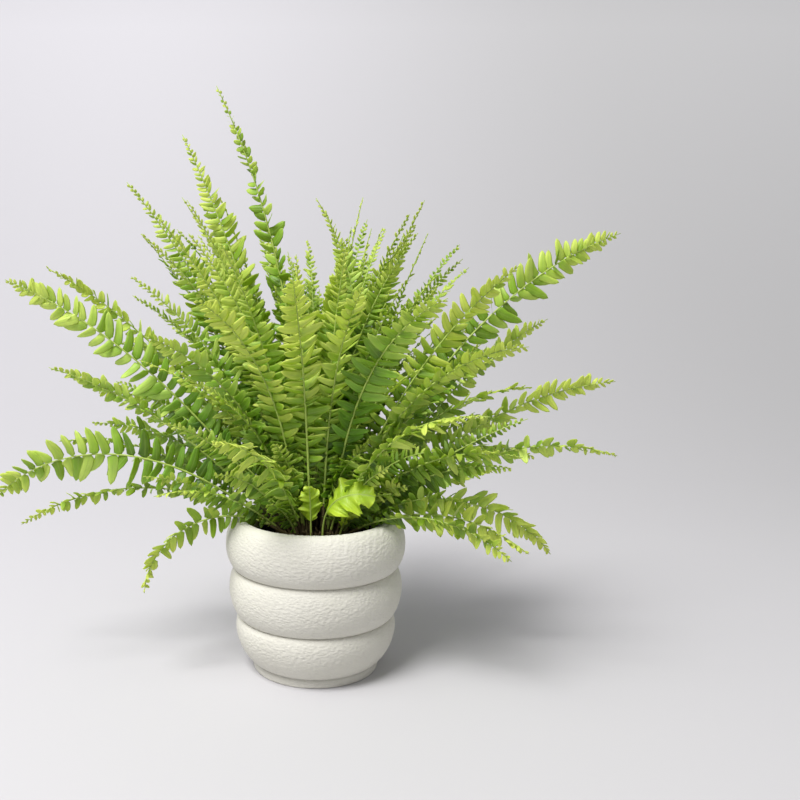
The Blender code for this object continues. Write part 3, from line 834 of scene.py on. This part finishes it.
def makeStalk(frond, style):
    # a tube that tapers from the foot to the tip, green above and brown at the foot
    share = np.linspace(0, 1, frondForm["stalkStations"])
    line = readAt(frond["line"], share)
    radius = frondForm["tipRadius"] + (style["stalkRadius"] - frondForm["tipRadius"]) * (1 - share) ** 0.8
    points = tubeAlong(line, radius, frondForm["stalkLoop"])
    brown = share[:-1] < style["brownShare"]
    return points, brown


def frondMesh(name, fronds):
    # joins the leaflets and stalks of one or more fronds in one mesh
    points, faces, data, materials = [], [], [], []

    def addTubes(grid, values, pick=None):
        # closed tubes with their leafData; pick is a stalk's materials along its sides, its ends being green
        flat = grid.reshape(-1, 3)
        own = outwards(flat, tubeFaces(*grid.shape[:3]), len(grid))
        faces.append(own + sum(map(len, points)))
        points.append(flat)
        data.append(values.reshape(-1, 4))
        ends = np.ones(0 if pick is None else len(own) - len(pick))
        materials.append(np.zeros(len(own)) if pick is None else np.append(pick, ends))

    for frond, style, dice in fronds:
        grids, datas = (makeYoungBlade if "lobes" in style else makeLeaflets)(frond, style, dice)
        for grid, values in zip(grids, datas):
            addTubes(grid, values)
        stalk, brown = makeStalk(frond, style)
        values = np.tile([0.0, 0.5, 0.5, 1.0], stalk.shape[:2] + (1,))
        addTubes(stalk[None], values, np.where(np.repeat(brown, frondForm["stalkLoop"]), 2, 1))
    return makeMesh(
        name, np.concatenate(points), [np.concatenate(faces)], np.concatenate(materials), np.concatenate(data)
    )


styles = {
    "upright": {
        "firstLeaflet": 0.22, "leafletReach": 1.06, "tipFull": -0.25, "spacing": 0.37, "slimness": 0.315,
        "lean": 17, "fold": 10, "foldSpread": 12, "twist": 8, "twistSpread": 23, "hook": 0.10,
        "sag": 0.10, "sagSpread": 0.12, "cup": 0.10, "ripple": 0.05,
        "tone": 0.46, "toneSpread": 0.17, "tipGlow": 0.95, "roll": 26, "rollTurns": 5,
        "stalkRadius": 0.00130, "brownShare": 0.14,
    },
    "arching": {
        "firstLeaflet": 0.19, "leafletReach": 1.06, "tipFull": 0.35, "spacing": 0.385, "slimness": 0.345,
        "lean": 14, "fold": 6, "foldSpread": 10, "twist": 6, "twistSpread": 18, "hook": 0.10,
        "sag": 0.16, "sagSpread": 0.12, "cup": 0.10, "ripple": 0.05,
        "tone": 0.46, "toneSpread": 0.17, "tipGlow": 1.10, "roll": 18, "rollTurns": 5,
        "stalkRadius": 0.00125, "brownShare": 0.12,
    },
    "trailing": {
        "firstLeaflet": 0.13, "leafletReach": 1.05, "tipFull": 0.15, "spacing": 0.40, "slimness": 0.39,
        "lean": 12, "fold": -4, "foldSpread": 12, "twist": 4, "twistSpread": 20, "hook": 0.08,
        "sag": 0.24, "sagSpread": 0.14, "cup": 0.12, "ripple": 0.06,
        "tone": 0.44, "toneSpread": 0.17, "tipGlow": 1.15, "roll": 18, "rollTurns": 6,
        "stalkRadius": 0.00115, "brownShare": 0.10,
    },
    "young": {
        "lobes": 2.6, "notch": 0.50, "reach": 1.32, "ruffle": 0.26, "ruffles": 21, "cup": 0.30, "sweep": 0.45,
        "tone": 0.72, "tipGlow": 0.25, "bladeFrom": 0.34, "stalkRadius": 0.00095, "brownShare": 0.0,
    },
}


def frondMaterials(tier):
    # leaf first, then the green stalk, then its brown foot
    return [youngGreen if tier == "young" else leafGreen, stalkGreen, stalkBrown]


def varyStyle(style, dice):
    # no two fronds carry their leaflets quite alike
    style["lean"] += dice.normal(0, 5)
    style["sag"] += dice.normal(0.03, 0.07)
    style["roll"] *= dice.uniform(0.5, 1.7)
    style["spacing"] *= dice.uniform(0.88, 1.04)
    style["leafletReach"] *= dice.uniform(0.88, 1.02)


def makeNodeFronds():
    # one piece for each frond of the frame, with its own seed
    for node in sorted(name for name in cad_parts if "_frond_" in name):
        tier, _, number = node.split("_")
        dice = np.random.default_rng(sum(ord(letter) for letter in tier) * 100 + int(number))
        style = dict(styles[tier])
        frond = frondFrame(*frondLine(node))
        style["tone"] += dice.normal(0, 0.17)
        style["cool"] = dice.uniform(0, 1) ** 1.6
        if tier != "young":
            varyStyle(style, dice)
            if frond["half"].max() < 0.0152:  # a slender frond has shorter, rounder leaflets that stand apart
                style.update(spacing=0.56, slimness=0.50, foldSpread=20, twistSpread=34, leafletReach=1.15)
        name = tier + "Frond" + number
        makePiece(name, frondMesh(name, [(frond, style, dice)]), frondMaterials(tier), [node])


makeNodeFronds()
print("fronds made from the frame")

filling = {
    "pieces": 11, "each": 19, "shortest": 0.10, "longest": 0.225, "narrowest": 0.012, "widest": 0.0175,
    "golden": 137.5, "flattest": 34, "steepest": 84, "behindIsLonger": 0.16, "seed": 77,
    "tallEvery": 2, "tallRise": (74, 88), "tallBend": (8, 40), "tallLength": (0.210, 0.290),
    "leftIsFlatter": 9, "leftIsLonger": 0.09,
    "frontIsShorter": 0.45, "frontSector": -0.5, "frontOpen": -0.82, "sectorLength": 0.62, "sectorRise": 14,
    "stray": 14, "bend": (20, 62), "turn": 16, "sideRoll": -45, "rollSpread": 30, "frontRise": 14,
    "tone": -0.10, "toneSpread": 0.18, "tipFull": 0.10,
}


def grownFrond(azimuth, rise, tip, length, half, roll, turn, place):
    # elevation goes from rise to tip as a power of the length, and the blade is rolled about its stalk
    share = np.linspace(0, 1, 30)
    elevation = np.radians(rise + (tip - rise) * share**1.6)
    heading = np.radians(azimuth + turn * share)
    flat = np.cos(elevation)
    along = np.stack([flat * np.cos(heading), flat * np.sin(heading), np.sin(elevation)], 1)
    level = np.stack([-np.sin(heading), np.cos(heading), 0 * heading], 1)
    across = level * math.cos(math.radians(roll)) + np.cross(along, level) * math.sin(math.radians(roll))
    foot = np.array([math.cos(math.radians(azimuth)), math.sin(math.radians(azimuth))]) * crownRadius * place
    base = np.array([foot[0], foot[1], crownTop(np.array(place))])
    steps = (along[1:] + along[:-1]) / 2 * length / 29
    middle = base + np.concatenate([np.zeros((1, 3)), np.cumsum(steps, 0)])
    blade = np.clip((share - frondForm["bladeStart"]) / (1 - frondForm["bladeStart"]), 0, 1)
    width = half * np.minimum(1, blade / 0.16) ** 0.6 * np.minimum(1, (1 - blade) / 0.55) ** 0.75
    return frondFrame(middle, across, np.maximum(width, 0.0006))


def makeFilling():
    # inner fronds at the golden angle, with random rise, length and bend; a share of them stand tall
    dice = np.random.default_rng(filling["seed"])
    number = 0
    for piece in range(filling["pieces"]):
        fronds = []
        for _ in range(filling["each"]):
            steep = dice.uniform(0, 1)
            rise = filling["flattest"] + (filling["steepest"] - filling["flattest"]) * steep
            azimuth = filling["golden"] * number + dice.uniform(-filling["stray"], filling["stray"])
            behind = math.sin(math.radians(azimuth))
            if behind < filling["frontOpen"]:  # none stand right in front, so that stalks and soil show
                number += 1
                continue
            longer = 1 + filling["behindIsLonger"] * max(0.0, behind)
            length = dice.uniform(filling["shortest"], filling["longest"]) * longer
            bend = dice.uniform(*filling["bend"])
            half = dice.uniform(filling["narrowest"], filling["widest"])
            roll = filling["sideRoll"] * math.cos(math.radians(azimuth))
            roll += dice.normal(0, filling["rollSpread"])
            # the ones in front stand up, clear of the rim
            rise += filling["frontRise"] * max(0.0, -behind) * (1 - steep)
            length *= 1 - filling["frontIsShorter"] * max(0.0, -behind)
            if behind < filling["frontSector"]:  # and those beside the front stay short
                length *= filling["sectorLength"]
                rise = min(88, rise + filling["sectorRise"])
            if number % filling["tallEvery"] == 0 and behind > -0.25:  # a share of them close the top
                steep = 1.0
                rise, bend = dice.uniform(*filling["tallRise"]), dice.uniform(*filling["tallBend"])
                left = max(0.0, -math.cos(math.radians(azimuth)))
                rise -= filling["leftIsFlatter"] * left
                length = dice.uniform(*filling["tallLength"]) * (1 + filling["leftIsLonger"] * left)
            turn, place = dice.uniform(-filling["turn"], filling["turn"]), 0.2 + 0.65 * (1 - steep)
            frond = grownFrond(azimuth, rise, rise - bend, length, half, roll, turn, place)
            style = dict(styles["upright" if steep > 0.66 else "arching" if steep > 0.3 else "trailing"])
            style["tone"] += dice.normal(filling["tone"], filling["toneSpread"])
            style["cool"] = dice.uniform(0, 1)
            style["tipFull"] = filling["tipFull"]
            varyStyle(style, dice)
            fronds.append((frond, style, dice))
            number += 1
        name = f"fillingFronds{piece + 1}"
        makePiece(name, frondMesh(name, fronds), frondMaterials("arching"))


makeFilling()
print("filling fronds made")

studio = {
    "floorFront": -4.0, "floorBack": 0.5, "sweep": 3.2, "wallTop": 6.0, "halfWidth": 7.0,
    # the next line paints the backdrop's falloff of light: painted shade, darker from left to right
    "left": (0.880, 0.865, 0.900), "right": (0.690, 0.685, 0.690), "paintedFalloffFrom": -0.9, "paintedFalloffTo": 1.3,
    # the first two values on the next line paint shade on the floor, fading out up the wall
    "floorPaintedShade": 0.665, "paintedShadeTop": 1.4, "world": (0.97, 0.975, 1.0), "worldStrength": 0.40,
    "keyPlace": (-0.9, -1.2, 2.7), "keyTarget": (0.0, 0.0, 0.2), "keySize": 1.2, "keyPower": 84.0,
    "keyColour": (1.0, 0.99, 0.98), "skyPower": 1.15, "skySpread": 40, "skyTilt": 34, "skyTurn": -56,
}


def makeBackdrop():
    # a floor that sweeps up into a wall, drawn as one line and stretched sideways
    turn = np.linspace(0, np.pi / 2, 24)
    back, sweep = studio["floorBack"], studio["sweep"]
    curve = np.stack([back + sweep * np.sin(turn), sweep * (1 - np.cos(turn))], 1)
    line = np.concatenate([[[studio["floorFront"], 0.0]], curve, [[back + sweep, studio["wallTop"]]]])
    points = np.array([[x, y, z] for y, z in line for x in (-studio["halfWidth"], studio["halfWidth"])])
    row = np.arange(len(line) - 1) * 2
    faces = np.stack([row, row + 1, row + 3, row + 2], 1)
    mesh = makeMesh("backdrop", points, [faces])
    material, tree, shader = newMaterial("paperBackdrop", 0.9)
    split = tree.nodes.new("ShaderNodeSeparateXYZ")
    tree.links.new(objectPlace(tree), split.inputs["Vector"])
    paintedFalloff = tree.nodes.new("ShaderNodeMapRange")  # painted shade: the paper is painted a little darker from left to right, as light falling off
    paintedFalloff.interpolation_type = "SMOOTHSTEP"
    paintedFalloff.inputs["From Min"].default_value = studio["paintedFalloffFrom"]
    paintedFalloff.inputs["From Max"].default_value = studio["paintedFalloffTo"]
    tree.links.new(split.outputs["X"], paintedFalloff.inputs["Value"])
    colour = mixColour(tree, paintedFalloff.outputs["Result"], studio["left"], studio["right"])
    rise = tree.nodes.new("ShaderNodeMapRange")  # painted shade: the floor is painted darker, fading to the paper's own colour up the wall
    rise.inputs["From Max"].default_value = studio["paintedShadeTop"]
    rise.inputs["To Min"].default_value = studio["floorPaintedShade"]
    tree.links.new(split.outputs["Z"], rise.inputs["Value"])
    lit = mixColour(tree, 1.0, colour, rise.outputs["Result"], "MULTIPLY")
    tree.links.new(lit, shader.inputs["Base Color"])
    shader.inputs["Specular IOR Level"].default_value = 0.1
    mesh.materials.append(material)
    backdrop = bpy.data.objects.new("backdrop", mesh)
    bpy.context.scene.collection.objects.link(backdrop)


def makeLight():
    # a round soft key light from the upper left that looks at the plant, a wide sky light and a pale world
    key = bpy.data.lights.new("keyLight", "AREA")
    key.shape = "DISK"
    key.size = studio["keySize"]
    key.energy = studio["keyPower"]
    key.color = studio["keyColour"]
    keyLight = bpy.data.objects.new("keyLight", key)
    keyLight.location = studio["keyPlace"]
    way = np.array(studio["keyTarget"]) - np.array(studio["keyPlace"])
    flat = math.hypot(way[0], way[1])
    keyLight.rotation_euler = (math.atan2(flat, -way[2]), 0.0, math.atan2(way[1], way[0]) - math.pi / 2)
    bpy.context.scene.collection.objects.link(keyLight)
    sun = bpy.data.lights.new("skyLight", "SUN")
    sun.energy = studio["skyPower"]
    sun.angle = math.radians(studio["skySpread"])
    skyLight = bpy.data.objects.new("skyLight", sun)
    skyLight.rotation_euler = (math.radians(studio["skyTilt"]), 0.0, math.radians(studio["skyTurn"]))
    bpy.context.scene.collection.objects.link(skyLight)
    world = bpy.data.worlds.new("studio")
    world.use_nodes = True
    background = world.node_tree.nodes["Background"]
    background.inputs["Color"].default_value = (*studio["world"], 1.0)
    background.inputs["Strength"].default_value = studio["worldStrength"]
    bpy.context.scene.world = world
    bpy.context.scene.view_settings.view_transform = "Standard"


makeBackdrop()
makeLight()
print("studio made")
